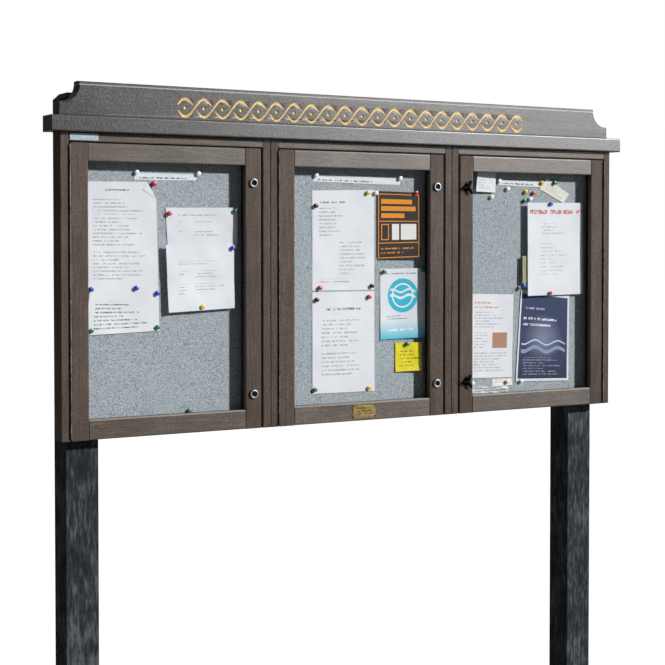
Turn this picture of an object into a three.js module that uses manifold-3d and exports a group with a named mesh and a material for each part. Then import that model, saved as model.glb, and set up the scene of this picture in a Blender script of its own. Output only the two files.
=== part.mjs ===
// Lockable notice board: three glazed cases side by side on two planted posts,
// with a ledge and a header board on top, all of recycled-plastic boards.
// Millimetres, +Z up. The front faces -Y, and X runs to the right seen from the front.
// The origin lies on the ground line, midway between the two posts.
import * as THREE from 'three';
import { mergeVertices } from 'three/addons/utils/BufferGeometryUtils.js';
import Module from 'manifold-3d';

const wasm = await Module();
wasm.setup();

// Row of cases
const bay_width = 614;
const case_height = 806;
const board = 24;
const board_radius = 3;
const back_panel = 5;
const pin_board = 9;
const display_room = 14.7;
const case_bottom = 1100;

// Seats and cutters
const joint_gap = 0.3;
const running_gap = 0.3;
const overrun = 1;

// Doors
const door_depth = 25;
const door_radius = 4;
const top_gap = 3;
const lock_gap = 5;
const stop_gap = 1;
const stile_width = 50;
const top_rail = 48;
const bottom_rail = 53;
const pane = 4;
const pane_setback = 14;
const rebate = 8;
const pane_play = 1;

// Piano hinges
const leaf = 1;
const leaf_play = 0.6;
const leaf_depth = 22;
const knuckle_radius = 2.4;
const knuckle_gap = 0.4;
const knuckle_count = 23;
const hinge_end = 5;
const hinge_pin_radius = 1.1;
const hinge_pin_play = 0.5;
const knuckle_sides = 8;
const pin_sides = 6;

// Latches, shared by the key locks and the knobs
const latch_inset = 96;
const spindle_radius = 6;
const cam_reach = 38;
const cam_width = 14;
const cam_thick = 3;
const cam_setback = 3.5;
const keep_play = 1.5;
const keep_end_play = 2;
const barrel_wall = 3.2;
const round_sides = 20;

// Key locks
const bezel_lip = 4;
const bezel_height = 6;
const bezel_slope = 2;
const key_recess_step = 1.2;
const key_recess_depth = 4;
const plug_step = 1;
const key_post_radius = 2;
const key_post_height = 2.5;

// Knobs with three arms
const knob_reach = 23;
const knob_waist = 8.5;
const knob_thick = 11;
const knob_round = 2;
const knob_arms = 3;
const knob_points = 36;
const knob_arm_share = 1.6;
const knob_lean_share = 0.27;
const flange_lip = 2.5;
const flange_height = 3;

// Ledge and header
const ledge_height = 42;
const ledge_front = 18;
const ledge_side = 27;
const ledge_radius = 4;
const header_height = 92;
const header_depth = 40;
const header_inset = 0.5;
const header_round = 5;
const scallop_radius = 50;
const scallop_drop = 5;
const shoulder = 6;

// Posts
const post_width = 90;
const post_inset = 32;
const post_rise = 66;
const post_buried = 600;
const post_chamfer = 13;
const post_chamfer_height = 15;
const post_sides = 4;

// Plates
const label_width = 78;
const label_height = 18;
const label_inset = 27;
const plaque_width = 80;
const plaque_height = 40;
const plaque_rise = 8;
const plate_thick = 1;

// Arc steps
const edge_steps = 3;
const scallop_steps = 8;
const bevel_steps = 2;

const bays = [
  { name: 'left', hand: 1, latch: 'key_lock' },
  { name: 'middle', hand: 1, latch: 'key_lock' },
  { name: 'right', hand: -1, latch: 'knob' },
];

// Sizes worked out from the ones above
const row_width = bays.length * bay_width;
const case_depth = door_depth + display_room + pin_board + joint_gap + back_panel;
const inner_width = bay_width - joint_gap - 2 * board;
const hinge_gap = 2 * (joint_gap + leaf) + leaf_play;
const door_width = inner_width - hinge_gap - lock_gap;
const door_height = case_height - board - top_gap;
const rail_length = door_width - 2 * (stile_width + joint_gap);
const door_middle = hinge_gap + door_width / 2;
const daylight_width = door_width - 2 * stile_width;
const daylight_height = door_height - top_rail - bottom_rail;
const pocket_width = daylight_width + 2 * rebate;
const pocket_height = daylight_height + 2 * rebate;
const daylight_middle = bottom_rail + daylight_height / 2;
const pane_front = pane_setback + joint_gap;
const bead_front = pane_front + pane + joint_gap;
const pivot_out = knuckle_radius + knuckle_gap / 4;
const leaf_front = knuckle_radius - pivot_out + running_gap;
const hinge_length = door_height - 2 * hinge_end;
const knuckle_pitch = hinge_length / knuckle_count;
const spindle_bore = spindle_radius + running_gap;
const barrel_radius = spindle_bore + barrel_wall;
const key_recess_radius = spindle_bore + key_recess_step;
const bezel_radius = barrel_radius + bezel_lip;
const flange_radius = barrel_radius + flange_lip;
const cam_front = door_depth + cam_setback;
const cam_back = cam_front + cam_thick;
const ledge_top = case_height + joint_gap + ledge_height;
const case_front = -(post_width / 2 + joint_gap + case_depth);
const post_top = case_bottom + ledge_top + post_rise;
const upright = Math.PI / 2;
const knob_lean = knob_lean_share * upright;

// Recycled-plastic board, brown and slightly rough
function boardMaterial() {
  return new THREE.MeshStandardMaterial({ color: 0x665c55, roughness: 0.75, metalness: 0 });
}

// Grey board of the ledge and header
function topMaterial() {
  return new THREE.MeshStandardMaterial({ color: 0x7a7672, roughness: 0.7, metalness: 0 });
}

// Black post
function postMaterial() {
  return new THREE.MeshStandardMaterial({ color: 0x2f3133, roughness: 0.7, metalness: 0 });
}

// Grey back panel
function panelMaterial() {
  return new THREE.MeshStandardMaterial({ color: 0x54504c, roughness: 0.8, metalness: 0 });
}

// Pale felt over the pin board
function feltMaterial() {
  return new THREE.MeshStandardMaterial({ color: 0xb3bcc4, roughness: 0.95, metalness: 0 });
}

// Clear plastic pane
function paneMaterial() {
  const clear = { color: 0xe8f0f2, roughness: 0.05, metalness: 0, transparent: true, opacity: 0.2 };
  return new THREE.MeshStandardMaterial(clear);
}

// Black plastic of the beads and knobs
function blackMaterial() {
  return new THREE.MeshStandardMaterial({ color: 0x1c1c1d, roughness: 0.45, metalness: 0 });
}

// Plain steel of the hinges
function steelMaterial() {
  return new THREE.MeshStandardMaterial({ color: 0x9a9a98, roughness: 0.4, metalness: 1 });
}

// Chrome of the locks
function chromeMaterial() {
  return new THREE.MeshStandardMaterial({ color: 0xd8d8d6, roughness: 0.15, metalness: 1 });
}

// Aluminium of the small label plate
function labelMaterial() {
  return new THREE.MeshStandardMaterial({ color: 0xb8c8cc, roughness: 0.35, metalness: 1 });
}

// Brass of the plaque
function brassMaterial() {
  return new THREE.MeshStandardMaterial({ color: 0x9a8550, roughness: 0.35, metalness: 1 });
}

function part(name, geometry, material) {
  const mesh = new THREE.Mesh(geometry, material);
  mesh.name = name;
  return mesh;
}

// A closed geometry as a solid for joining and cutting
function solid(geometry) {
  const plain = geometry.clone();
  plain.deleteAttribute('normal');
  plain.deleteAttribute('uv');
  const merged = mergeVertices(plain);
  const triVerts = new Uint32Array(merged.index.array);
  const vertProperties = new Float32Array(merged.attributes.position.array);
  return new wasm.Manifold(new wasm.Mesh({ numProp: 3, vertProperties, triVerts }));
}

function geometryOf(body) {
  const mesh = body.getMesh();
  const geometry = new THREE.BufferGeometry();
  geometry.setAttribute('position', new THREE.BufferAttribute(mesh.vertProperties, 3));
  geometry.setIndex(new THREE.BufferAttribute(mesh.triVerts, 1));
  return geometry;
}

// A box between two corners, whichever of its two X values is the lower
function block(x0, x1, y0, y1, z0, z1) {
  const box = new THREE.BoxGeometry(Math.abs(x1 - x0), y1 - y0, z1 - z0);
  return box.translate((x0 + x1) / 2, (y0 + y1) / 2, (z0 + z1) / 2);
}

// A rod along Z between two heights
function pillar(radius, sides, x, y, z0, z1) {
  const rod = new THREE.CylinderGeometry(radius, radius, z1 - z0, sides).rotateX(upright);
  return rod.translate(x, y, (z0 + z1) / 2);
}

// A body turned about Y from points of radius and depth
function turned(points, sides) {
  return new THREE.LatheGeometry(points.map(([radius, y]) => new THREE.Vector2(radius, y)), sides);
}

// The same, as a ring that closes on its own first point
function turnedRing(points, sides) {
  return turned([...points, points[0]], sides);
}

// A shape drawn as seen from the front, made solid between two depths, with its arrises rounded
function facing(shape, front, back, round, steps) {
  const settings = {
    depth: back - front - 2 * round,
    bevelEnabled: round > 0,
    bevelThickness: round,
    bevelSize: round,
    bevelOffset: -round,
    bevelSegments: bevel_steps,
    curveSegments: steps,
  };
  const geometry = new THREE.ExtrudeGeometry(shape, settings).rotateX(upright);
  return geometry.translate(0, back - round, 0);
}

// Points of a quarter circle about a centre
function quarter(centre_x, centre_y, radius, from) {
  const steps = Array.from({ length: edge_steps + 1 }, (_, step) => step);
  return steps.map((step) => {
    const angle = from + (upright * step) / edge_steps;
    return [centre_x + radius * Math.cos(angle), centre_y + radius * Math.sin(angle)];
  });
}

// Board section with both front corners rounded: width about the middle, depth back from the front
function boardSection(width, depth, radius) {
  const inner = width / 2 - radius;
  return [
    [-width / 2, depth],
    ...quarter(-inner, radius, radius, Math.PI),
    ...quarter(inner, radius, radius, 3 * upright),
    [width / 2, depth],
  ];
}

// A section carried up Z
function upwards(section, height) {
  const shape = new THREE.Shape(section.map(([x, y]) => new THREE.Vector2(x, y)));
  return new THREE.ExtrudeGeometry(shape, { depth: height, bevelEnabled: false });
}

// A section carried along X and centred there, with its width standing up Z
function sideways(section, length) {
  const turn = new THREE.Matrix4().makeBasis(
    new THREE.Vector3(0, 0, 1),
    new THREE.Vector3(0, 1, 0),
    new THREE.Vector3(-1, 0, 0),
  );
  return upwards(section, length).applyMatrix4(turn).translate(length / 2, 0, 0);
}

// Square post with a four-way chamfer at its top: a body turned on four sides
function post(name) {
  const corner = Math.SQRT2 * (post_width / 2);
  const neck = Math.SQRT2 * (post_width / 2 - post_chamfer);
  const outline = [
    [0, -post_buried],
    [corner, -post_buried],
    [corner, post_top - post_chamfer_height],
    [neck, post_top],
    [0, post_top],
  ];
  const geometry = turned(outline, post_sides).rotateX(upright).rotateZ(upright / 2);
  return part(name, geometry, postMaterial());
}

function ledge() {
  const section = boardSection(ledge_height, ledge_front + case_depth, ledge_radius);
  const mesh = part('ledge_board', sideways(section, row_width + 2 * ledge_side), topMaterial());
  mesh.position.set(row_width / 2, -ledge_front, case_height + joint_gap + ledge_height / 2);
  return mesh;
}

// Header board with a concave quarter round at each upper corner
function header() {
  const half = row_width / 2 - header_inset;
  const edge = half - shoulder;
  const spring = header_height - scallop_drop;
  const shape = new THREE.Shape();
  shape.moveTo(-half, 0);
  shape.lineTo(half, 0);
  shape.lineTo(half, spring - scallop_radius);
  shape.absarc(edge, spring, scallop_radius, 3 * upright, Math.PI, true);
  shape.lineTo(edge - scallop_radius, header_height);
  shape.lineTo(-edge + scallop_radius, header_height);
  shape.absarc(-edge, spring, scallop_radius, 0, -upright, true);
  shape.lineTo(-half, spring - scallop_radius);
  const geometry = facing(shape, case_depth - header_depth, case_depth, header_round, scallop_steps);
  const mesh = part('header_board', geometry, topMaterial());
  mesh.position.set(row_width / 2, 0, ledge_top + joint_gap);
  return mesh;
}

// Small bare plate near the left end of the left case's top board
function labelPlate() {
  const middle = case_height - board / 2;
  const back = -joint_gap;
  const half = label_height / 2;
  const right = label_inset + label_width;
  const plate = block(label_inset, right, back - plate_thick, back, middle - half, middle + half);
  return part('label_plate', plate, labelMaterial());
}

// Heights of the two latches of a door
function latchHeights() {
  return { lower: latch_inset, upper: door_height - latch_inset };
}

// Side board on the latch side, slotted for the tips of the turned cams
function keepBoard(geometry, inward) {
  const tip = Math.hypot(cam_reach, cam_width / 2);
  const axis_to_board = lock_gap + stile_width / 2;
  const slot_depth = tip - axis_to_board + keep_end_play;
  const sweep = Math.sqrt(tip ** 2 - axis_to_board ** 2);
  const face = (inward * board) / 2;
  const mouth = face + inward * overrun;
  const end = face - inward * slot_depth;
  let body = solid(geometry);
  for (const height of Object.values(latchHeights())) {
    const low = height - sweep - keep_end_play;
    const high = height + cam_width / 2 + keep_end_play;
    const slot = block(mouth, end, cam_front - keep_play, cam_back + keep_play, low, high);
    body = body.subtract(solid(slot));
  }
  return geometryOf(body);
}

// One case: two sides, top and bottom boards, back panel and felt-covered pin board
function caseBoards(bay) {
  const group = new THREE.Group();
  const name = `${bay.name}_case`;
  const outer = (joint_gap + board) / 2;
  const latch_side = bay.hand > 0 ? 'right' : 'left';
  for (const side of ['left', 'right']) {
    const inward = side === 'left' ? 1 : -1;
    const plain = upwards(boardSection(board, case_depth, board_radius), case_height);
    const geometry = side === latch_side ? keepBoard(plain, inward) : plain;
    const mesh = part(`${name}_${side}_side`, geometry, boardMaterial());
    mesh.position.x = side === 'left' ? outer : bay_width - outer;
    group.add(mesh);
  }
  const span = inner_width - 2 * joint_gap;
  const half = span / 2;
  const low = board + joint_gap;
  const high = case_height - board - joint_gap;
  const panel_front = case_depth - back_panel;
  const felt_back = panel_front - joint_gap;
  const top_section = boardSection(board, case_depth, board_radius);
  const floor = block(-half, half, door_depth + stop_gap, case_depth, 0, board);
  const panel = block(-half, half, panel_front, case_depth, low, high);
  const felt = block(-half, half, felt_back - pin_board, felt_back, low, high);
  const top = part(`${name}_top_board`, sideways(top_section, span), boardMaterial());
  top.position.z = case_height - board / 2;
  const boards = [
    top,
    part(`${name}_bottom_board`, floor, boardMaterial()),
    part(`${name}_back_panel`, panel, panelMaterial()),
    part(`${name}_pin_board`, felt, feltMaterial()),
  ];
  for (const mesh of boards) {
    mesh.position.x = bay_width / 2;
    group.add(mesh);
  }
  return group;
}

// Upright of the door frame, its near edge at a distance from the hinge side
function stile(bay, name, near, bored) {
  const middle = bay.hand * (near + stile_width / 2);
  const section = boardSection(stile_width, door_depth, door_radius);
  let body = solid(upwards(section, door_height).translate(middle, 0, 0));
  const pocket_near = bay.hand * (door_middle - pocket_width / 2);
  const pocket_far = bay.hand * (door_middle + pocket_width / 2);
  const pocket_low = daylight_middle - pocket_height / 2;
  const pocket_high = daylight_middle + pocket_height / 2;
  const back = door_depth + overrun;
  const pocket = block(pocket_near, pocket_far, pane_setback, back, pocket_low, pocket_high);
  body = body.subtract(solid(pocket));
  const bore = barrel_radius + joint_gap;
  for (const height of bored ? Object.values(latchHeights()) : []) {
    const drill = new THREE.CylinderGeometry(bore, bore, door_depth + 2 * overrun, round_sides);
    body = body.subtract(solid(drill.translate(middle, door_depth / 2, height)));
  }
  return part(name, geometryOf(body), boardMaterial());
}

// Crossbar of the door frame, rebated at the back of the edge that meets the pane
function rail(bay, name, height, middle, pane_side) {
  const half = height / 2;
  const section = [
    ...boardSection(height, door_depth, door_radius).slice(0, -1),
    [half, pane_setback],
    [half - rebate, pane_setback],
    [half - rebate, door_depth],
  ];
  const turned_section = section.map(([z, y]) => [pane_side * z, y]);
  const mesh = part(name, sideways(turned_section, rail_length), boardMaterial());
  mesh.position.set(bay.hand * door_middle, 0, middle);
  return mesh;
}

function pocketPane(bay, name) {
  const half = pocket_width / 2 - pane_play;
  const tall = pocket_height / 2 - pane_play;
  const sheet = block(-half, half, pane_front, pane_front + pane, -tall, tall);
  const mesh = part(name, sheet, paneMaterial());
  mesh.position.set(bay.hand * door_middle, 0, daylight_middle);
  return mesh;
}

// Points of an upright rectangle about its middle
function rectangle(width, height) {
  const corners = [
    [-1, -1],
    [1, -1],
    [1, 1],
    [-1, 1],
  ];
  return corners.map(([x, y]) => new THREE.Vector2((x * width) / 2, (y * height) / 2));
}

// Bead that holds the pane in its pocket, flush with the back of the door
function bead(bay, name) {
  const shape = new THREE.Shape(rectangle(pocket_width - 2 * joint_gap, pocket_height - 2 * joint_gap));
  shape.holes.push(new THREE.Path(rectangle(daylight_width, daylight_height)));
  const mesh = part(name, facing(shape, bead_front, door_depth, 0, 1), blackMaterial());
  mesh.position.set(bay.hand * door_middle, 0, daylight_middle);
  return mesh;
}

// One leaf of the piano hinge with its knuckles. The fixed leaf carries the pin and has the end
// knuckles, and the moving leaf is bored for the pin.
function hingeLeaf(bay, name, moving) {
  const near = moving ? hinge_gap - joint_gap - leaf : joint_gap;
  const x0 = bay.hand * near;
  const x1 = bay.hand * (near + leaf);
  const x = (bay.hand * hinge_gap) / 2;
  const low = hinge_end;
  const high = hinge_end + hinge_length;
  let body = solid(block(x0, x1, leaf_front, leaf_depth, low, high));
  for (let k = moving ? 1 : 0; k < knuckle_count; k += 2) {
    const z0 = low + k * knuckle_pitch + (k > 0 ? knuckle_gap / 2 : 0);
    const z1 = low + (k + 1) * knuckle_pitch - (k < knuckle_count - 1 ? knuckle_gap / 2 : 0);
    const tab = block(x0, x1, -pivot_out, leaf_front + leaf, z0, z1);
    body = body.add(solid(tab)).add(solid(pillar(knuckle_radius, knuckle_sides, x, -pivot_out, z0, z1)));
  }
  const pin = solid(pillar(hinge_pin_radius, pin_sides, x, -pivot_out, low, high));
  const bore_radius = hinge_pin_radius + hinge_pin_play;
  const bore = pillar(bore_radius, knuckle_sides, x, -pivot_out, low - overrun, high + overrun);
  body = moving ? body.subtract(solid(bore)) : body.add(pin);
  return part(name, geometryOf(body), steelMaterial());
}

// Cam plate that points down when the latch is open, about the spindle's axis
function camPlate() {
  const half = cam_width / 2;
  const shape = new THREE.Shape();
  shape.moveTo(-half, -cam_reach);
  shape.lineTo(half, -cam_reach);
  shape.absarc(0, 0, half, 0, Math.PI, false);
  return facing(shape, cam_front, cam_back, 0, edge_steps * 2);
}

// Barrel of a key lock: a bezel on the face of the door with a recess for the key
function lockBarrel(name) {
  const floor = key_recess_depth - bezel_height;
  const outline = [
    [spindle_bore, floor],
    [key_recess_radius, floor],
    [key_recess_radius, -bezel_height],
    [bezel_radius - bezel_slope, -bezel_height],
    [bezel_radius, bezel_slope - bezel_height],
    [bezel_radius, -joint_gap],
    [barrel_radius, -joint_gap],
    [barrel_radius, door_depth],
    [spindle_bore, door_depth],
  ];
  return part(name, turnedRing(outline, round_sides), chromeMaterial());
}

// Plug that the key turns, with the post in its middle and the cam on its inner end
function lockPlug(name) {
  const face = key_recess_depth - bezel_height + plug_step;
  const outline = [
    [0, face - key_post_height],
    [key_post_radius, face - key_post_height],
    [key_post_radius, face],
    [spindle_radius, face],
    [spindle_radius, cam_back],
    [0, cam_back],
  ];
  const body = solid(turned(outline, round_sides)).add(solid(camPlate()));
  return part(name, geometryOf(body), chromeMaterial());
}

// Flanged bush that the knob's spindle turns in
function knobBush(name) {
  const outline = [
    [spindle_bore, -flange_height],
    [flange_radius, -flange_height],
    [flange_radius, -joint_gap],
    [barrel_radius, -joint_gap],
    [barrel_radius, door_depth],
    [spindle_bore, door_depth],
  ];
  return part(name, turnedRing(outline, round_sides), blackMaterial());
}

// Knob whose outline swells into arms, with its spindle and cam
function knob(name) {
  const points = Array.from({ length: knob_points }, (_, k) => {
    const angle = (2 * Math.PI * k) / knob_points;
    const swell = (1 + Math.cos(knob_arms * (angle - upright + knob_lean))) / 2;
    const radius = knob_waist + (knob_reach - knob_waist) * swell ** knob_arm_share;
    return new THREE.Vector2(radius * Math.cos(angle), radius * Math.sin(angle));
  });
  const back = -(flange_height + running_gap);
  const grip = facing(new THREE.Shape(points), back - knob_thick, back, knob_round, edge_steps);
  const spindle = [
    [0, back - knob_thick / 2],
    [spindle_radius, back - knob_thick / 2],
    [spindle_radius, cam_back],
    [0, cam_back],
  ];
  const body = solid(grip).add(solid(turned(spindle, round_sides))).add(solid(camPlate()));
  return part(name, geometryOf(body), blackMaterial());
}

// One door with its frame, pane, hinge and latches, placed from its hinge side
function door(bay) {
  const group = new THREE.Group();
  const name = `${bay.name}_door`;
  const far = hinge_gap + door_width - stile_width;
  const latch_x = bay.hand * (far + stile_width / 2);
  group.add(
    stile(bay, `${name}_hinge_stile`, hinge_gap, false),
    stile(bay, `${name}_latch_stile`, far, true),
    rail(bay, `${name}_bottom_rail`, bottom_rail, bottom_rail / 2, 1),
    rail(bay, `${name}_top_rail`, top_rail, door_height - top_rail / 2, -1),
    pocketPane(bay, `${name}_pane`),
    bead(bay, `${name}_glazing_bead`),
    hingeLeaf(bay, `${name}_hinge_fixed_leaf`, false),
    hingeLeaf(bay, `${name}_hinge_moving_leaf`, true),
  );
  for (const [place, height] of Object.entries(latchHeights())) {
    const latch_name = `${name}_${place}`;
    const pieces = bay.latch === 'key_lock'
      ? [lockBarrel(`${latch_name}_lock_barrel`), lockPlug(`${latch_name}_lock_plug`)]
      : [knobBush(`${latch_name}_knob_bush`), knob(`${latch_name}_knob`)];
    for (const mesh of pieces) {
      mesh.position.set(latch_x, 0, height);
      group.add(mesh);
    }
  }
  return group;
}

// Brass plaque on the middle door's bottom rail
function plaque(bay) {
  const half = plaque_width / 2;
  const back = -joint_gap;
  const high = plaque_rise + plaque_height;
  const plate = block(-half, half, back - plate_thick, back, plaque_rise, high);
  const mesh = part('brass_plaque', plate, brassMaterial());
  mesh.position.x = bay.hand * door_middle;
  return mesh;
}

const cases = new THREE.Group();
cases.position.set(-row_width / 2, case_front, case_bottom);
bays.forEach((bay, index) => {
  const boards = caseBoards(bay);
  boards.position.x = index * bay_width;
  const hinge_side = joint_gap / 2 + board;
  const hung = door(bay);
  hung.position.x = bay.hand > 0 ? index * bay_width + hinge_side : (index + 1) * bay_width - hinge_side;
  if (bay.name === 'middle') hung.add(plaque(bay));
  cases.add(boards, hung);
});
cases.add(ledge(), header(), labelPlate());

const notice_board = new THREE.Group();
for (const side of ['left', 'right']) {
  const mesh = post(`${side}_post`);
  const out = row_width / 2 - post_inset - post_width / 2;
  mesh.position.x = side === 'left' ? -out : out;
  notice_board.add(mesh);
}
notice_board.add(cases);

export default notice_board;
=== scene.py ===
import math

import bmesh
import bpy
import numpy as np
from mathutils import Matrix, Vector


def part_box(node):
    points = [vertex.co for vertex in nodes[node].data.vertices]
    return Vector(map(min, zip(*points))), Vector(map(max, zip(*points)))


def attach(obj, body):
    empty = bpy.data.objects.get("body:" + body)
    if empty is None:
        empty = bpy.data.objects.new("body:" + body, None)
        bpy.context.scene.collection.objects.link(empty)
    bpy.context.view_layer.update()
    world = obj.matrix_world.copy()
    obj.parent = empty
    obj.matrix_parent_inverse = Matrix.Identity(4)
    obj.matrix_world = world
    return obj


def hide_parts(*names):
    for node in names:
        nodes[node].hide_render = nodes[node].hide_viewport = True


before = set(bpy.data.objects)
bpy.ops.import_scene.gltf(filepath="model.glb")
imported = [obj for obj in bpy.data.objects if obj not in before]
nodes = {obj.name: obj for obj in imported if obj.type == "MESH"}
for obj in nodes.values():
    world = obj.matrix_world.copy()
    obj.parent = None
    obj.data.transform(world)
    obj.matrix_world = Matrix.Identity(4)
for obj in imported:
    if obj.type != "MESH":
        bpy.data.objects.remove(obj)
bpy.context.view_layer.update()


# POSTS
# Two square posts of black recycled plastic, drawn through a die, so the grain runs upwards.
# They are planted in the ground, and a four-way chamfer is milled on top to shed the rain.

MM = 0.001


def colour(code):
    """The linear colour of an sRGB code such as "2f3133"."""
    parts = [int(code[i:i + 2], 16) / 255 for i in (0, 2, 4)]
    linear = [p / 12.92 if p <= 0.04045 else ((p + 0.055) / 1.055) ** 2.4 for p in parts]
    return (*linear, 1)


class Pattern:
    """Pattern nodes in one node tree, each added by a short call."""

    def __init__(self, tree):
        self.tree = tree

    def join(self, socket, value):
        if isinstance(value, bpy.types.NodeSocket):
            self.tree.links.new(value, socket)
        elif value is not None:
            socket.default_value = value

    def node(self, kind, *values, **settings):
        """A node of that kind, with values for its inputs in their order; its first output."""
        made = self.tree.nodes.new("ShaderNode" + kind)
        for key, setting in settings.items():
            setattr(made, key, setting)
        for socket, value in zip(made.inputs, values):
            self.join(socket, value)
        return made.outputs[0]

    def maths(self, rule, first, second=None, third=None):
        """One to three numbers worked out by the named rule."""
        return self.node("Math", first, second, third, operation=rule)

    def times(self, first, second):
        """The product of two numbers."""
        return self.maths("MULTIPLY", first, second)

    def blend(self, share, first, second):
        """The first colour going over to the second as the share goes from 0 to 1."""
        made = self.tree.nodes.new("ShaderNodeMix")
        made.data_type = "RGBA"
        for place, value in ((0, share), (6, first), (7, second)):
            self.join(made.inputs[place], value)
        return made.outputs[2]

    def spread(self, value, low, high, to_low=0.0, to_high=1.0):
        """The value's range from low to high laid over another range, and held at its ends."""
        return self.node("MapRange", value, low, high, to_low, to_high)

    def place(self, waves=1, shift=(0, 0, 0)):
        """The place on the piece, with so many pattern lengths to a metre, which is one number
        or one each along X, Y and Z."""
        coordinates = self.tree.nodes.new("ShaderNodeTexCoord").outputs["Object"]
        return self.node("Mapping", coordinates, shift, (0, 0, 0), np.ones(3) * waves)

    def parts(self, place):
        """The X, Y and Z of a place."""
        made = self.tree.nodes.new("ShaderNodeSeparateXYZ")
        self.join(made.inputs[0], place)
        return made.outputs

    def noise(self, waves, detail=3.0, rough=0.5, shift=(0, 0, 0)):
        """Smooth values between about 0.3 and 0.7, with so many waves to a metre."""
        made = self.tree.nodes.new("ShaderNodeTexNoise")
        self.join(made.inputs["Vector"], self.place(waves, shift))
        for name, value in (("Scale", 1.0), ("Detail", detail), ("Roughness", rough)):
            made.inputs[name].default_value = value
        return made.outputs[0]

    def within(self, value, low, high):
        """1 where the value is over low and under high, and 0 elsewhere."""
        over = self.maths("GREATER_THAN", value, low)
        return self.times(over, self.maths("LESS_THAN", value, high))

    def bands(self, value, *stops):
        """The colours at their places along the value, with smooth passages between them."""
        made = self.tree.nodes.new("ShaderNodeValToRGB")
        self.join(made.inputs[0], value)
        marks = made.color_ramp.elements
        while len(marks) < len(stops):
            marks.new(0.5)
        for mark, (where, code) in zip(marks, stops):
            mark.position = where
            mark.color = colour(code)
        return made.outputs[0]


class Finish(Pattern):
    """One material: a surface shader, and the patterns that its sockets take."""

    def __init__(self, name, **sockets):
        self.material = bpy.data.materials.new(name)
        self.material.use_nodes = True
        super().__init__(self.material.node_tree)
        self.surface = self.tree.nodes["Principled BSDF"]
        self.set(**sockets)

    def set(self, **sockets):
        """Each surface socket gets its value or the pattern that is joined to it."""
        for name, value in sockets.items():
            self.join(self.surface.inputs[name.replace("_", " ")], value)

    def roughness(self, pattern, least, most):
        """Roughness from least to most over the usual range of a noise."""
        self.set(Roughness=self.spread(pattern, 0.3, 0.7, least, most))

    def relief(self, height, depth, share):
        """Raises the surface by that share of the height pattern, whose 0 and 1 lie the depth
        apart, in metres. A second relief lies on the first."""
        made = self.tree.nodes.new("ShaderNodeBump")
        for name, value in (("Strength", share), ("Distance", depth), ("Height", height)):
            self.join(made.inputs[name], value)
        normal = self.surface.inputs["Normal"]
        if normal.is_linked:
            self.tree.links.new(normal.links[0].from_socket, made.inputs["Normal"])
        self.tree.links.new(made.outputs[0], normal)

    def see_through(self, share, tint=(0.985, 0.99, 0.99, 1)):
        """The surface shows by this share, and what is behind it, in that tint, by the rest."""
        clear = self.node("BsdfTransparent", tint)
        mixed = self.tree.nodes.new("ShaderNodeMixShader")
        for socket, value in zip(mixed.inputs, (share, clear, self.surface.outputs[0])):
            self.join(socket, value)
        self.tree.links.new(mixed.outputs[0], self.tree.nodes["Material Output"].inputs["Surface"])

    def brushed(self, across, share):
        """Gloss that spreads across the grain, as on a surface with fine grooves."""
        made = self.tree.nodes.new("ShaderNodeVectorTransform")
        made.vector_type, made.convert_from, made.convert_to = "VECTOR", "OBJECT", "WORLD"
        made.inputs[0].default_value = across
        self.tree.links.new(made.outputs[0], self.surface.inputs["Tangent"])
        self.set(Anisotropic=share)


def finish_node(node, material):
    """The material on every slot of a node."""
    mesh = nodes[node].data
    mesh.materials.clear()
    mesh.materials.append(material)


def plastic_board(name, grain, seed, tones, gloss=0.5, rough=0.5, streak=(160, 9),
                  shares=(0.2, 0.3, 0.5), painted_light_lines=()):
    """Recycled-plastic board. Long noise makes streaks along the grain and round noise the
    mottle of the chopped plastic, and both raise the surface. The tones are dark to pale, the
    streaks are so many to a metre across and along the grain, and the shares are those of the
    broad clouds, the streaks and the mottle. Painted light lines run between two heights, in a
    colour and by a share: a paler line is a painted highlight, a darker one painted shade."""
    upright = grain == "z"
    finish = Finish(name, Specular_IOR_Level=gloss, Coat_Weight=0.2 * gloss, Coat_Roughness=0.25)
    shift = (seed * 3.7, seed * 1.3, seed * 2.9)
    wide, long = streak
    streaks = finish.noise((wide, wide, long) if upright else (long, wide, wide), 5, 0.62, shift)
    clouds = finish.noise(9, 2, shift=shift)
    fibres = finish.noise((900, 900, 40) if upright else (40, 900, 900), 3, 0.6, shift)
    mottle = finish.noise(210, 4, 0.7, shift)
    mixed = finish.times(clouds, shares[0])
    mixed = finish.maths("MULTIPLY_ADD", streaks, shares[1], mixed)
    mixed = finish.maths("MULTIPLY_ADD", mottle, shares[2], mixed)
    dark, body, pale = tones
    tint = finish.bands(mixed, (0.4, dark), (0.5, body), (0.6, pale))
    # Painted light: pale lines are painted highlights and dark lines painted shade along rounded edges.
    for low, high, code, share in painted_light_lines:
        line = finish.within(finish.parts(finish.place())[2], low, high)
        tint = finish.blend(finish.times(line, share), tint, colour(code))
    finish.set(Base_Color=tint)
    finish.roughness(fibres, rough - 0.06, rough + 0.08)
    finish.relief(mottle, 0.9 * MM, 0.6)
    finish.relief(fibres, 0.12 * MM, 0.6)
    finish.brushed((1, 0.6, 0) if upright else (0, 0.6, 1), 0.85)
    return finish.material


POSTS = ("left_post", "right_post")
POST_TONES, POST_STREAKS, POST_SHARES = ("26282a", "393c40", "5c6166"), (120, 24), (0.3, 0.6, 0.1)
POST_GLOSS, POST_ROUGHNESS = 0.05, 0.5
for seed, post in enumerate(POSTS):
    finish_node(post, plastic_board(post, "z", seed, POST_TONES, POST_GLOSS, POST_ROUGHNESS,
                                    POST_STREAKS, POST_SHARES))


# BOLT CAPS
# Domed caps of black plastic, snapped into the bolt holes at the back of the posts. The bolts
# behind them hold the cases, the ledge and the header.

ROW_LEFT, CASE_FRONT, CASE_SILL = -921 * MM, -99.3 * MM, 1100 * MM
CAP_RADIUS, CAP_HEIGHT, CAP_LIP, CAP_ROUND = 13, 2.6, 0.8, 0.6
CAP_HEIGHTS = (70, 403, 736, 827, 892)
HEAD_GAP = 0.05
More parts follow.
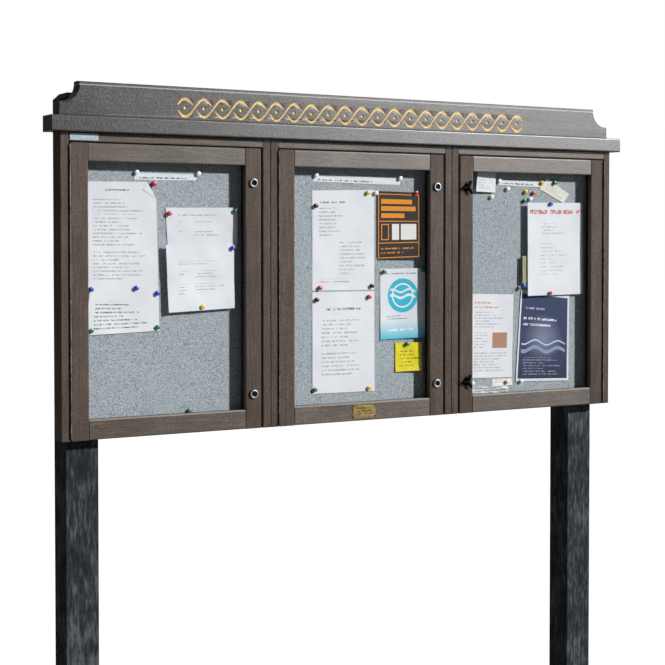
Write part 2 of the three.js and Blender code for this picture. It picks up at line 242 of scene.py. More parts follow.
# For each aim, the three rows are the frame's X, Y and Z in the piece's own X, Y and Z.
AIMS = {
    "front": ((1, 0, 0), (0, 0, -1), (0, 1, 0)),
    "back": ((-1, 0, 0), (0, 0, 1), (0, 1, 0)),
    "right": ((0, 0, 1), (1, 0, 0), (0, 1, 0)),
    "left": ((0, 0, -1), (-1, 0, 0), (0, 1, 0)),
}


def case_point(across, back, up):
    """Metres in the frame from millimetres across the row, back from its front, and up."""
    spots = np.broadcast_arrays(across, back, up)
    return np.stack(spots, -1) * MM + (ROW_LEFT, CASE_FRONT, CASE_SILL)


def grid_faces(rows, columns, close_rows=False, close_columns=True):
    """Faces between the neighbours of a grid of points that is numbered row after row."""
    row = np.arange(rows if close_rows else rows - 1)[:, None]
    column = np.arange(columns if close_columns else columns - 1)[None]
    above, beside = (row + 1) % rows, (column + 1) % columns
    corners = ((row, column), (row, beside), (above, beside), (above, column))
    return np.stack([r * columns + c for r, c in corners], -1).reshape(-1, 4)


def round_rows(profile, sides):
    """A row of points for each (radius, height): x = r cos a, y = r sin a, z = h."""
    radius, height = np.array(profile, float).T
    angle = np.linspace(0, 2 * np.pi, sides, endpoint=False)
    wall = radius[:, None, None] * np.stack([np.cos(angle), np.sin(angle)], -1)
    return np.concatenate([wall, np.repeat(height[:, None, None], sides, 1)], -1)


def drawn_in(rows, low, high):
    """A wall of rows of points, with fans from a low and a high point on the axis to its ends."""
    count, sides = len(rows) * len(rows[0]), len(rows[0])
    points = np.vstack([*rows, [(0, 0, low), (0, 0, high)]])
    here = np.arange(sides)
    there = (here + 1) % sides
    under = np.stack([np.full(sides, count), there, here], -1)
    over = np.stack([np.full(sides, count + 1), count - sides + here, count - sides + there], -1)
    return points, [grid_faces(len(rows), sides), under, over]


def turned(profile, sides):
    """A profile of (radius, height) turned about +Z, from a point at its low end, out and
    round, to a point at its high end."""
    return drawn_in(round_rows(profile[1:-1], sides), profile[0][1], profile[-1][1])


def set_down(shape, aim, places):
    """The shape, given in millimetres, at every place, with its own +Z facing the aim's way."""
    points, faces = shape
    facing = points @ np.array(AIMS[aim], float).T * MM
    places = np.atleast_2d(places)
    steps = (len(points) * np.arange(len(places)))[:, None, None]
    spread = (facing[None] + places[:, None]).reshape(-1, 3)
    return spread, [(f[None] + steps).reshape(-1, f.shape[1]) for f in faces]


def together(*shapes):
    """Several shapes as one, the faces of each numbered on from the last."""
    starts = np.cumsum([0] + [len(points) for points, _ in shapes])
    faces = [f + start for start, (_, own) in zip(starts, shapes) for f in own]
    return np.vstack([points for points, _ in shapes]), faces


def piece(name, shape, body, slot, *materials, sharp=35):
    """A piece of the object from a shape in metres, shaded smooth up to the sharp angle."""
    points, faces = shape
    mesh = bpy.data.meshes.new(name)
    mesh.from_pydata(points.tolist(), [], [f for group in faces for f in group.tolist()])
    mesh.shade_smooth()
    mesh.set_sharp_from_angle(angle=math.radians(sharp))
    for material in materials:
        mesh.materials.append(material)
    made = bpy.data.objects.new(name, mesh)
    bpy.context.scene.collection.objects.link(made)
    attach(made, body)
    return made


def arc(radius, height, middle, start, end, steps=6):
    """Points of (radius, height) on an ellipse about a middle, between two angles in degrees."""
    angle = np.radians(np.linspace(start, end, steps))
    return list(zip(middle[0] + radius * np.cos(angle), middle[1] + height * np.sin(angle)))


def black_moulding(name, body="17181a", rough=0.42, pale="222426", gloss=0.4):
    """Black moulded plastic with a fine, slightly uneven skin."""
    finish = Finish(name, Specular_IOR_Level=gloss)
    skin = finish.noise(700, 3)
    clouds = finish.noise(40, 2)
    finish.set(Base_Color=finish.bands(clouds, (0.35, body), (0.7, pale)))
    finish.roughness(skin, rough - 0.08, rough + 0.1)
    finish.relief(skin, 0.05 * MM, 0.6)
    return finish.material


def extent(node):
    """The low and the high corner of a node's box."""
    return np.array([tuple(corner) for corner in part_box(node)])


cap_profile = [(0, HEAD_GAP), (CAP_RADIUS, HEAD_GAP), (CAP_RADIUS, CAP_LIP)]
cap_profile += arc(CAP_RADIUS - CAP_ROUND, CAP_HEIGHT - CAP_LIP, (0, CAP_LIP), 12, 90, 7)[:-1]
cap_profile += [(0, CAP_HEIGHT)]
post_middles = [extent(post)[:, 0].mean() for post in POSTS]
post_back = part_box(POSTS[0])[1].y
cap_places = [(x, post_back, CASE_SILL + z * MM) for x in post_middles for z in CAP_HEIGHTS]
caps = set_down(turned(cap_profile, sides=40), "back", cap_places)
piece("bolt_caps", caps, "case", "black_plastic", black_moulding("bolt_cap"))


# CASE BOARDS
# The sides, top and bottom of each case are brown recycled-plastic boards with planed, rounded
# edges, screwed together at the corners.

BAYS = ("left", "middle", "right")
UPRIGHT_TONES = ("40362f", "52473f", "675a51")
CROSS_TONES = ("3f3630", "52483f", "6a5f56")
# The paler line along an upper edge is a painted highlight, where the rounded edge catches the sun.
EDGE_HIGHLIGHT_TONE, EDGE_HIGHLIGHT_SHARE = "a3988e", 0.7


def finish_boards(part, grain, tones, first_seed, gloss=0.34, edge=0):
    """Every bay's board of that name, each cut from another length. The upper edge has a painted
    highlight, a paler line of the edge's width in millimetres."""
    for number, bay in enumerate(BAYS):
        name = f"{bay}_{part}"
        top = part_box(name)[1].z
        painted_light_lines = [(top - edge * MM, top + MM, EDGE_HIGHLIGHT_TONE, EDGE_HIGHLIGHT_SHARE)] if edge else ()
        finish_node(name, plastic_board(name, grain, first_seed + number, tones, gloss, painted_light_lines=painted_light_lines))


finish_boards("case_left_side", "z", UPRIGHT_TONES, first_seed=10)
finish_boards("case_right_side", "z", UPRIGHT_TONES, first_seed=20)
finish_boards("case_top_board", "x", CROSS_TONES, first_seed=30, gloss=0.42)
finish_boards("case_bottom_board", "x", CROSS_TONES, first_seed=40, gloss=0.25)


# BACK PANELS
# Thin dark sheets let in between the boards behind the pin boards. Pan-head screws hold them
# round the rim, and stand a little proud of the back.

def backing_sheet(name, seed):
    """Extruded dark sheet with a faint orange-peel surface and long, weak drawing marks."""
    finish = Finish(name, Specular_IOR_Level=0.4)
    shift = (seed * 2.1, 0, seed)
    peel = finish.noise(500, 2, shift=shift)
    marks = finish.noise((120, 120, 4), 3, shift=shift)
    finish.set(Base_Color=finish.bands(marks, (0.35, "2b2826"), (0.6, "383431")))
    finish.roughness(peel, 0.45, 0.6)
    finish.relief(peel, 0.1 * MM, 0.5)
    return finish.material


def plated_steel(name, grain, tones, rough):
    """Dull plated steel: clouds in the plating, and fine drawing lines along the grain."""
    finish = Finish(name, Metallic=1.0)
    clouds = finish.noise(55, 4, 0.6)
    lines = finish.noise((900, 900, 20) if grain == "z" else (20, 900, 900), 2)
    finish.set(Base_Color=finish.bands(clouds, *zip((0.35, 0.5, 0.66), tones)))
    finish.roughness(clouds, rough - 0.08, rough + 0.14)
    finish.relief(lines, 0.02 * MM, 0.5)
    return finish.material


def screw_head(radius, height, socket, sides=24):
    """A domed head with a round socket, as a profile turned about its axis."""
    dome = arc(radius - socket, height * 0.55, (socket, height * 0.45), 0, 90, 5)
    floor = height * 0.35
    profile = [(0, HEAD_GAP), (radius, HEAD_GAP), *dome, (socket * 0.9, floor), (0, floor)]
    return turned(profile, sides)


for seed, bay in enumerate(BAYS):
    finish_node(f"{bay}_case_back_panel", backing_sheet(f"{bay}_back_panel", seed))

SCREW_RADIUS, SCREW_HEIGHT, SCREW_SOCKET, SCREW_INSET = 3.8, 2.0, 1.7, 9
SCREWS_ACROSS, SCREWS_UP = 5, 6
screw_steel = plated_steel("screw_steel", "x", ("85857f", "a09f98", "b9b8b0"), rough=0.34)
panel_screws = []
for bay in BAYS:
    low, high = extent(f"{bay}_case_back_panel")
    across = np.linspace(low[0] + SCREW_INSET * MM, high[0] - SCREW_INSET * MM, SCREWS_ACROSS)
    upwards = np.linspace(low[2] + SCREW_INSET * MM, high[2] - SCREW_INSET * MM, SCREWS_UP)
    rim = [(x, z) for x in across for z in upwards if x in across[[0, -1]] or z in upwards[[0, -1]]]
    panel_screws += [(x, high[1], z) for x, z in rim]
post_half = np.ptp(extent(POSTS[0])[:, 0]) / 2
hidden = post_half + (SCREW_RADIUS + 1) * MM
panel_screws = [p for p in panel_screws if min(abs(p[0] - x) for x in post_middles) > hidden]
heads = set_down(screw_head(SCREW_RADIUS, SCREW_HEIGHT, SCREW_SOCKET), "back", panel_screws)
piece("panel_screws", heads, "case", "zinc_steel", screw_steel)


# PIN BOARDS
# Softboard covered in a grey looped felt. The fibres are of several greys and blues, so the
# felt looks mottled, and it takes pins.

def pin_felt(name, seed):
    """Mottled felt: noise at the scale of the loops, with darker flecks and broad soft clouds."""
    finish = Finish(name, Roughness=0.95, Specular_IOR_Level=0.15, Sheen_Weight=0.08)
    shift = (seed * 1.7, 0, seed * 0.9)
    loops = finish.noise(430, 2, 0.65, shift)
    fuzz = finish.noise(1300, 3, 0.7, shift)
    clouds = finish.noise(14, 2, shift=shift)
    mixed = finish.maths("MULTIPLY_ADD", fuzz, 0.3, finish.times(loops, 0.7))
    stops = ((0.37, "4c545c"), (0.44, "8b939a"), (0.52, "aab2b8"), (0.62, "d0d6da"))
    mottled = finish.bands(mixed, *stops)
    dusty = finish.blend(finish.spread(clouds, 0.35, 0.7, 0, 0.3), mottled, colour("b3b9bd"))
    finish.set(Base_Color=dusty)
    finish.relief(mixed, 1.2 * MM, 0.7)
    return finish.material


for seed, bay in enumerate(BAYS):
    finish_node(f"{bay}_case_pin_board", pin_felt(f"{bay}_felt", seed))


# NOTICES
# Sheets of paper and card on the pin boards, with bars and dashes for the words and pictures,
# and one clear wallet. They were folded, curl at their free edges, and lie over one another.

BOARD_FACE, PAPER_THICKNESS, PAPER_LAYER, PAPER_GAP = 39.7, 0.2, 0.45, 0.1
CREASE_REACH, FOLD_GAP, END_SWEEP = 0.12, 0.6, 4
WHITE, CREAM, INK, GREY = "e4e5e9", "e6e2d4", "5a5c63", "a2a4aa"
LINE_SPAN, WORD_LENGTH, STROKE, SHORTEST_LINE = (0.3, 0.68), 0.33, 0.13, 0.45
WORDS_LEFT_OUT, STROKES_LEFT_OUT = 0.24, 0.35


def curled_sheet(corners, layer, curl, creases, ripple, fold, rounding, sweep, size):
    """Point (u, v) lies at the corners' bilinear mean, on a grid of that size across and up. It
    stands off the board by its layer, a curl that grows towards each edge (left, right, bottom,
    top) by the power of the sweep or, at the ends, of the end sweep, ridges along the creases,
    and a ripple. What lies past the fold line is mirrored in that line. Rounding squeezes the
    columns at the sides so that the corners become quarter circles."""
    u, v = np.meshgrid(np.linspace(0, 1, size[0]), np.linspace(0, 1, size[1]))
    low_left, low_right, high_right, high_left = (np.array(c, float) for c in corners)
    width = np.linalg.norm(low_right - low_left)
    height = np.linalg.norm(high_left - low_left)
    beyond = np.maximum(0, np.abs(u - 0.5) * width - (width / 2 - rounding))
    reach = height / 2 - rounding + np.sqrt(np.maximum(rounding ** 2 - beyond ** 2, 0))
    v = 0.5 + (v - 0.5) * reach / (height / 2)
    across, up = u[..., None], v[..., None]
    spot = (low_left * (1 - across) + low_right * across) * (1 - up)
    spot = spot + (high_left * (1 - across) + high_right * across) * up
    left, right, bottom, top = curl
    lift = left * (1 - u) ** sweep + right * u ** sweep
    lift = lift + bottom * (1 - v) ** END_SWEEP + top * v ** END_SWEEP
    lift = lift + ripple * np.sin(5.1 * u + 3 * v + left) ** 2 * np.sin(2.3 * v + 4 * u) ** 2
    for where, ridge in creases:
        lift = lift + ridge * np.maximum(0, 1 - np.abs(v - where) / CREASE_REACH)
    side = np.ones_like(u)
    if fold:
        start, stop = (np.array(p, float) for p in fold)
        normal = np.array([stop[1] - start[1], start[0] - stop[0]])
        normal /= np.linalg.norm(normal)
        past = np.maximum((spot - start) @ -normal, 0)
        spot = spot + 2 * past[..., None] * normal
        lift, side = lift + (past > 0) * FOLD_GAP, np.where(past > 0, -1, 1)
    front = BOARD_FACE - PAPER_GAP - layer * PAPER_LAYER - PAPER_THICKNESS - lift
    sides = [case_point(spot[..., 0], y, spot[..., 1]).reshape(-1, 3)
             for y in (front, front + side * PAPER_THICKNESS)]
    rows, columns = u.shape
    face = grid_faces(rows, columns, close_columns=False)
    back = face[:, ::-1] + rows * columns
    index = np.arange(rows * columns).reshape(rows, columns)
    rim = np.r_[index[0], index[1:, -1], index[-1, -2::-1], index[-2:0:-1, 0]]
    far, ahead = rim + rows * columns, np.roll(rim, -1)
    edge = np.stack([far, far[np.r_[1:len(far), 0]], ahead, rim], -1)
    place = np.tile(np.stack([u * width, v * height], -1).reshape(-1, 2), (2, 1))
    return (np.vstack(sides), [face, back, edge]), place


def ink_cells(finish, across, up, size, key):
    """A random number for each cell of that width and height; every key gives other numbers."""
    column, row = (finish.maths("FLOOR", finish.maths("DIVIDE", way, step))
                   for way, step in zip((across, up), size))
    return finish.node("TexWhiteNoise", finish.node("CombineXYZ", column, row, key))


def printed_paper(name, ground, blocks):
    """Paper with its print by the place on the sheet in millimetres. Each block has its kind,
    left, bottom, right and top, a colour and a size. A bar is plain. Rows are lines of that
    pitch, less some words, some strokes and a random part of their end. A disc is a ring of
    that width, a glow goes from that share in its middle to none at its rim, waves are a band
    that swings, and a fade runs out upwards."""
    finish = Finish(name, Specular_IOR_Level=0.3)
    places = finish.node("UVMap", uv_map="print")
    across, up, _ = finish.parts(places)
    grain = finish.noise(300, 4, 0.6)
    shade = finish.noise(11, 2)
    paler = colour("f4f4f6" if ground in (WHITE, CREAM) else ground)
    tint = finish.blend(finish.spread(shade, 0.4, 0.7, 0, 0.5), colour(ground), paler)
    for kind, left, bottom, right, top, code, size in blocks:
        beside = finish.within(across, left, right)
        mask = finish.times(beside, finish.within(up, bottom, top))
        if kind == "rows":
            line = finish.maths("FLOOR", finish.maths("DIVIDE", up, size))
            inside = finish.maths("FRACT", finish.maths("DIVIDE", up, size))
            mask = finish.times(mask, finish.within(inside, *LINE_SPAN))
            words = ink_cells(finish, across, up, (size * WORD_LENGTH, size), left)
            mask = finish.times(mask, finish.maths("GREATER_THAN", words, WORDS_LEFT_OUT))
            strokes = ink_cells(finish, across, up, (size * STROKE, size * STROKE), bottom)
            mask = finish.times(mask, finish.maths("GREATER_THAN", strokes, STROKES_LEFT_OUT))
            ends = finish.node("TexWhiteNoise", finish.node("CombineXYZ", line, left, top))
            full = finish.spread(ends, 0, 1, left + (right - left) * SHORTEST_LINE, right)
            mask = finish.times(mask, finish.maths("LESS_THAN", across, full))
        elif kind in ("disc", "glow"):
            middle = finish.node("CombineXYZ", (left + right) / 2, (bottom + top) / 2, 0.0)
            away = finish.tree.nodes.new("ShaderNodeVectorMath")
            away.operation = "DISTANCE"
            finish.join(away.inputs[0], places)
            finish.join(away.inputs[1], middle)
            away, radius = away.outputs["Value"], (right - left) / 2
            mask = finish.spread(away, radius, 0, 0, size)
            if kind == "disc":
                mask = finish.within(away, radius - size, radius)
        elif kind == "waves":
            swing = finish.maths("SINE", finish.maths("DIVIDE", across, size))
            crest = finish.maths("MULTIPLY_ADD", swing, size / 2, up)
            mask = finish.times(beside, finish.within(crest, bottom, top))
        elif kind == "fade":
            mask = finish.times(mask, finish.spread(up, bottom, top, 1, 0))
        tint = finish.blend(mask, tint, colour(code))
    finish.set(Base_Color=tint)
    finish.roughness(grain, 0.6, 0.78)
    finish.relief(grain, 0.08 * MM, 0.5)
    return finish.material


def notice(name, corners, *blocks, ground=WHITE, layer=0, curl=(0.4, 0.4, 0.4, 0.4), creases=(),
           ripple=0.8, fold=None, rounding=0, sweep=4, size=(30, 40)):
    """One sheet on a pin board, with its corners from low left round to high left."""
    shape, place = curled_sheet(corners, layer, curl, creases, ripple, fold, rounding, sweep, size)
    made = piece(name, shape, "case", "paper", printed_paper(name, ground, blocks), sharp=60)
    mesh = made.data
    corner = np.empty(len(mesh.loops), int)
    mesh.loops.foreach_get("vertex_index", corner)
    layout = mesh.uv_layers.new(name="print")
    layout.data.foreach_set("uv", place[corner].ravel())


# Left bay: a heading strip, two long sheets, the upper one with a corner folded over, and two
# letters, one over the other.
notice("left_heading", ((221, 687), (404, 688), (407, 705), (222, 706)),
       ("rows", 12, 3, 172, 15, INK, 12), curl=(0.2, 1.2, 0.1, 0.1))
notice("left_upper_list", ((78, 388), (291, 385), (284, 682), (78, 680)),
       ("rows", 62, 262, 158, 274, INK, 12), ("rows", 26, 205, 180, 246, GREY, 10),
       ("rows", 26, 118, 176, 196, GREY, 10), ("rows", 26, 30, 184, 108, GREY, 10),
       fold=((258, 683), (283, 641)), curl=(0.3, 0.6, 0.4, 1.5), size=(90, 120))
notice("left_lower_list", ((81, 273), (293, 279), (291, 384), (95, 396)),
       ("rows", 20, 14, 190, 92, INK, 11), layer=2, curl=(0.4, 0.3, 1.8, 0.2))
notice("letter_behind", ((318, 508), (524, 506), (526, 615), (312, 613)),
       ("rows", 34, 82, 180, 92, GREY, 10), ("rows", 34, 60, 60, 68, GREY, 9),
       ("rows", 78, 60, 160, 68, GREY, 9), ("rows", 34, 38, 60, 46, GREY, 9),
       ("rows", 78, 30, 160, 46, GREY, 9), curl=(1.0, 9, 0.3, 1.0), ripple=1.4, sweep=1.3)
notice("letter_in_front", ((314, 328), (514, 336), (513, 512), (306, 512)),
       ("rows", 34, 130, 170, 139, GREY, 9), ("rows", 34, 96, 64, 112, GREY, 9),
       ("rows", 84, 88, 170, 112, GREY, 9), ("rows", 34, 44, 64, 76, GREY, 9),
       ("rows", 84, 50, 170, 76, GREY, 9),
       curl=(15, 11, 1.5, 0.5), creases=((0.45, -0.8),), ripple=1.2, layer=3, sweep=1.1)

# Middle bay: a heading strip, two sheets one below the other, a dark card, a curled sheet and
# a yellow note.
notice("middle_heading", ((772, 693), (1068, 688), (1068, 707), (772, 713)),
       ("rows", 14, 3, 282, 16, INK, 12), curl=(0.1, 0.6, 0.1, 0.1))
notice("middle_upper_list", ((769, 379), (978, 378), (978, 672), (769, 667)),
       ("rows", 26, 250, 176, 264, INK, 13), ("rows", 22, 150, 120, 238, GREY, 11),
       ("rows", 90, 40, 186, 140, GREY, 11), ("rows", 22, 18, 160, 34, GREY, 10))
notice("middle_lower_list", ((769, 82), (979, 80), (978, 375), (769, 375)),
       ("rows", 40, 228, 172, 246, INK, 18), ("rows", 30, 130, 182, 212, GREY, 12),
       ("rows", 30, 46, 176, 118, GREY, 12), layer=1, curl=(0.3, 0.8, 1.4, 0.2))
ORANGE, CARD = "ee9626", "2a2422"
notice("dark_card", ((987, 466), (1133, 471), (1132, 666), (987, 669)),
       ("bar", 4, 4, 142, 196, ORANGE, 0), ("bar", 6.5, 6.5, 139.5, 193.5, CARD, 0),
       ("bar", 14, 166, 118, 180, ORANGE, 0), ("bar", 14, 145, 130, 159, ORANGE, 0),
       ("bar", 14, 124, 92, 138, ORANGE, 0), ("bar", 6, 113, 140, 115.5, ORANGE, 0),
       ("bar", 14, 58, 40, 106, ORANGE, 0), ("bar", 17, 61, 37, 103, CARD, 0),
       ("bar", 50, 58, 74, 106, "f2efe9", 0), ("bar", 80, 58, 132, 106, "f2efe9", 0),
       ("bar", 6, 48, 140, 50.5, ORANGE, 0), ("rows", 14, 12, 132, 42, ORANGE, 13),
       ground=CARD, rounding=8, curl=(2, 13, 0.1, 0.1), ripple=0.3, sweep=1.1)
notice("curled_sheet", ((999, 230), (1152, 234), (1151, 441), (999, 440)),
       ("rows", 20, 190, 134, 200, "3f7f93", 10), ("disc", 26, 78, 128, 180, "35b9d6", 51),
       ("disc", 40, 92, 114, 166, "e6f1f4", 5), ("waves", 34, 122, 120, 130, "e6f1f4", 9),
       ("waves", 34, 140, 120, 146, "e6f1f4", 9), ("rows", 20, 58, 134, 74, "2c6f8a", 8),
       ("fade", 0, 0, 153, 56, "45c3dd", 0), ("rows", 26, 14, 128, 40, "f3f6f8", 18),
       curl=(0.8, 11, 2.5, 0.2), ripple=1.2, sweep=1.8)
notice("yellow_note", ((1051, 133), (1138, 135), (1138, 219), (1051, 219)),
       ("rows", 12, 12, 80, 68, "77711c", 11), ground="efdf22", curl=(2, 12, 3, 0.2), sweep=1.2)

# Right bay: a heading strip, two notes, an olive strip, a white sheet with a red heading, a
# dark poster with a white border, a sheet with an orange heading, a slip and a clear wallet.
notice("right_note", ((1335, 673), (1412, 671), (1415, 731), (1341, 733)),
       ("rows", 8, 8, 64, 48, GREY, 8), curl=(14, 7, 0.5, 0.2), sweep=1)
notice("right_heading", ((1428, 695), (1595, 690), (1595, 707), (1428, 710)),
       ("rows", 12, 3, 156, 15, INK, 12), layer=2, curl=(0.2, 1.0, 0.1, 0.1))
notice("tilted_note", ((1589, 685), (1683, 642), (1707, 671), (1618, 719)),
       ("rows", 10, 8, 92, 32, GREY, 8), ground=CREAM, layer=1, curl=(0.3, 2.0, 0.6, 0.4))
notice("olive_strip", ((1514, 389), (1538, 389), (1537, 475), (1514, 475)),
       ("rows", 5, 10, 20, 70, "6d6e4a", 7), ground="a5a67c", curl=(13, 13, 0.5, 0.1), sweep=1)
notice("white_sheet", ((1532, 350), (1755, 352), (1752, 643), (1530, 641)),
       ("rows", 10, 250, 330, 275, "cd7f86", 35), ("rows", 60, 190, 150, 226, "a9a7ad", 10),
       ("rows", 50, 60, 160, 170, "c3c1c7", 12), layer=3, curl=(15.5, 11, 0.8, 0.3), sweep=1.3)
notice("bordered_poster", ((1497, 83), (1706, 76), (1708, 348), (1517, 369)),
       ("bar", 6, 8, 202, 276, "313a5e", 0), ("fade", 6, 8, 202, 130, "222944", 0),
       ("glow", 24, 60, 184, 220, "8e94ae", 0.8),
       ("rows", 24, 222, 180, 238, "b9c3d6", 15), ("rows", 18, 168, 190, 206, "e8ebf0", 19),
       ("waves", 14, 96, 194, 108, "8d9ab5", 15), ("waves", 14, 122, 194, 127, "c8d1df", 15),
       ("rows", 24, 20, 184, 76, "9eaac2", 9), layer=2, curl=(0.8, 1.5, 1.0, 1.2))
notice("orange_heading_sheet", ((1321, 101), (1482, 97), (1488, 355), (1327, 360)),
       ("rows", 14, 216, 144, 240, "d9793c", 15), ("rows", 14, 150, 140, 206, GREY, 9),
       ("bar", 84, 92, 140, 140, "b3876b", 0), ("rows", 14, 92, 76, 140, GREY, 9),
       ("rows", 14, 20, 142, 82, GREY, 9), layer=1, curl=(0.4, 0.9, 0.9, 0.3))
notice("small_slip", ((1408, 73), (1485, 73), (1485, 93), (1408, 95)),
       ("rows", 8, 5, 68, 15, GREY, 7), ground=CREAM, curl=(0.2, 0.3, 1.2, 0.2))


def crumpled_film(name):
    """Clear film that is whitish along its creases, which run from side to side."""
    finish = Finish(name, Roughness=0.35, Base_Color=colour("eef1f2"))
    creases = finish.noise((26, 26, 240), 4, 0.65)
    finish.see_through(finish.spread(creases, 0.48, 0.6, 0.12, 0.9))
    finish.relief(creases, 1.2 * MM, 0.8)
    return finish.material


wallet_corners = ((1318, 42), (1466, 38), (1466, 72), (1318, 77))
wallet, _ = curled_sheet(wallet_corners, layer=3, curl=(4, 4, 0.5, 0.5), creases=(), ripple=2.5,
                         fold=None, rounding=0, sweep=1, size=(30, 12))
piece("clear_wallet", wallet, "case", "pane", crumpled_film("clear_film"))


# PUSH PINS
# Moulded plastic push pins with a flange, a waist and a wide end, on needles. They hold the
# sheets, and the spare ones wait in the felt. A third number is how far the paper stands off.

def pin_plastic(name, code):
    """Glossy coloured plastic, a little uneven in its shine."""
    finish = Finish(name, Specular_IOR_Level=0.5)
    skin = finish.noise(500, 2)
    finish.set(Base_Color=finish.bands(skin, (0.6, code), (1.0, "f4f4f4")))
    finish.roughness(skin, 0.24, 0.36)
    return finish.material


pin_profile = [(0, -6), (0.6, -4.5), (0.6, 0.8), (5.8, 0.8), (6.4, 1.3), (5.8, 2.0), (3.5, 2.7)]
pin_profile += [(3.1, 4.0), (3.6, 5.8), (5.8, 6.7), (6.4, 7.6), (6.2, 8.7), (5.2, 9.3), (0, 9.5)]
push_pin = turned(pin_profile, sides=18)
PIN_PLACES = {
    "white": ((227, 707), (409, 707), (780, 711), (1066, 708), (982, 663), (1462, 683),
              (1430, 707), (1550, 653), (1330, 86), (1517, 84)),
    "cream": ((1401, 657), (1463, 84)),
    "red": ((277, 677), (321, 597, 2), (792, 387), (958, 358), (1116, 665, 11), (1620, 358, 12)),
    "green": ((518, 606, 9), (286, 289), (380, 56), (96, 285), (776, 94), (1010, 431), (1142, 435, 9),
              (1089, 215, 5), (1528, 647), (1647, 705)),
    "blue": ((508, 503, 12), (286, 381), (225, 396), (97, 395), (1622, 638, 12), (1518, 381, 12)),
    "yellow": ((415, 342, 13), (958, 90), (954, 663), (1532, 675), (1595, 704)),
    "orange": ((1564, 672),),
    "black": ((968, 390), (782, 353), (779, 623)),
}
FLAT_PAPER = 0.6
PIN_COLOURS = {"white": "eff1f3", "cream": "efe6c8", "red": "c42430", "green": "0a7448",
               "blue": "1048b8", "yellow": "e2bc10", "orange": "de6a18", "black": "15161a"}
for name, spots in PIN_PLACES.items():
    across, up, lift = np.array([(*spot, FLAT_PAPER)[:3] for spot in spots], float).T
    pins = set_down(push_pin, "front", case_point(across, BOARD_FACE - lift, up))
    piece(f"{name}_pins", pins, "case", "pin_plastic", pin_plastic(f"{name}_pin", PIN_COLOURS[name]))


# DOOR FRAMES
# Four brown boards to a door, with planed, rounded edges. The crossbars stand between the
# uprights, and their square ends leave a fine dark joint.

finish_boards("door_hinge_stile", "z", UPRIGHT_TONES, first_seed=50)
finish_boards("door_latch_stile", "z", UPRIGHT_TONES, first_seed=60)
finish_boards("door_top_rail", "x", CROSS_TONES, first_seed=70, gloss=0.52)
# The bottom rails' paler upper edge is a painted highlight.
finish_boards("door_bottom_rail", "x", CROSS_TONES, first_seed=80, gloss=0.25, edge=3)


# PANES AND BEADS
# A clear acrylic pane to each door, with a little dust on it. It lies in the rebate behind the
# frame, and a black moulded bead is pressed in behind it.

def clear_pane(name):
    """Clear sheet: nearly all is see-through, a faint gloss and a little dust show."""
    finish = Finish(name, Roughness=0.04, Base_Color=colour("c9d2d6"), Specular_IOR_Level=0.5)
    dust = finish.noise(60, 5, 0.7)
    streak = finish.noise((70, 70, 3), 3)
    wiped = finish.times(finish.spread(dust, 0.5, 0.8), finish.spread(streak, 0.4, 0.7))
    gloss = finish.node("Fresnel", 1.12)
    finish.see_through(finish.maths("MULTIPLY_ADD", wiped, 0.02, gloss))
    return finish.material


pane_material = clear_pane("acrylic_pane")
bead_material = black_moulding("glazing_bead")
for bay in BAYS:
    finish_node(f"{bay}_door_pane", pane_material)
    finish_node(f"{bay}_door_glazing_bead", bead_material)


# PIANO HINGES
# Folded steel leaves the height of the door, rolled round one long pin. The steel is zinc
# plated and has gone dull outdoors.

LEAF_SEAT, LEAF_SCREW_BACK, LEAF_STAGGER = 1.3, 12, 20
LEAF_SCREWS, LOWEST_SCREW, HIGHEST_SCREW = 9, 40, 739
hinge_steel = plated_steel("hinge_steel", "z", ("40403e", "5c5c5a", "767673"), rough=0.5)
hinge_screw = screw_head(radius=2.9, height=0.3, socket=1.2, sides=20)
hinge_heights = np.linspace(LOWEST_SCREW, HIGHEST_SCREW, LEAF_SCREWS)
for bay in BAYS:
    hinged_left = bay != "right"
    outwards, inwards = ("left", "right") if hinged_left else ("right", "left")
    side_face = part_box(f"{bay}_case_{outwards}_side")[1 if hinged_left else 0].x
    door_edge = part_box(f"{bay}_door_hinge_stile")[0 if hinged_left else 1].x
    away = LEAF_SEAT * MM if hinged_left else -LEAF_SEAT * MM
    for leaf, face, aim, stagger, body in (
        ("fixed", side_face + away, inwards, 0, "case"),
        ("moving", door_edge - away, outwards, LEAF_STAGGER, f"{bay}_door"),
    ):
        finish_node(f"{bay}_door_hinge_{leaf}_leaf", hinge_steel)
        spots = case_point(0, LEAF_SCREW_BACK, hinge_heights + stagger)
        spots[:, 0] = face
        screws = set_down(hinge_screw, aim, spots)
        piece(f"{bay}_{leaf}_leaf_screws", screws, body, "zinc_steel", screw_steel)


# KEY LOCKS
# Two cam locks to each of the left and middle doors. A chromed barrel with a rounded bezel is
# held by a thin nut behind the door, and a black plug with a key post turns the steel cam.

def turned_ring(profile, sides):
    """A closed profile of (radius, height), its outer wall going up, turned about +Z."""
    points = round_rows(profile, sides).reshape(-1, 3)
    return points, [grid_faces(len(profile), sides, close_rows=True)]


def plate(outline, low, high, edge):
    """A flat plate: its outline carried from low to high along +Z, its edges taken off by
    moving the first and last rows in along the outline's normals."""
    outline = np.array(outline, float)
    tangent = np.roll(outline, -1, 0) - np.roll(outline, 1, 0)
    normal = np.stack([tangent[:, 1], -tangent[:, 0]], -1)
    normal /= np.linalg.norm(normal, axis=1, keepdims=True)
    rows = [(edge, low), (0, low + edge), (0, high - edge), (edge, high)]
    rings = [np.c_[outline - inset * normal, np.full(len(outline), z)] for inset, z in rows]
    walls = grid_faces(len(rows), len(outline))
    bottom = np.arange(len(outline))[::-1][None]
    top = (np.arange(len(outline)) + (len(rows) - 1) * len(outline))[None]
    return np.vstack(rings), [walls, bottom, top]


def cam_outline(reach=38, half=7, corner=3, steps=5):
    """Round at the spindle, and square with rounded corners at the tip below it."""
    tip = arc(corner, corner, (-half + corner, -reach + corner), 180, 270, steps)
    tip += arc(corner, corner, (half - corner, -reach + corner), 270, 360, steps)
    return tip + arc(half, half, (0, 0), 0, 180, 19)


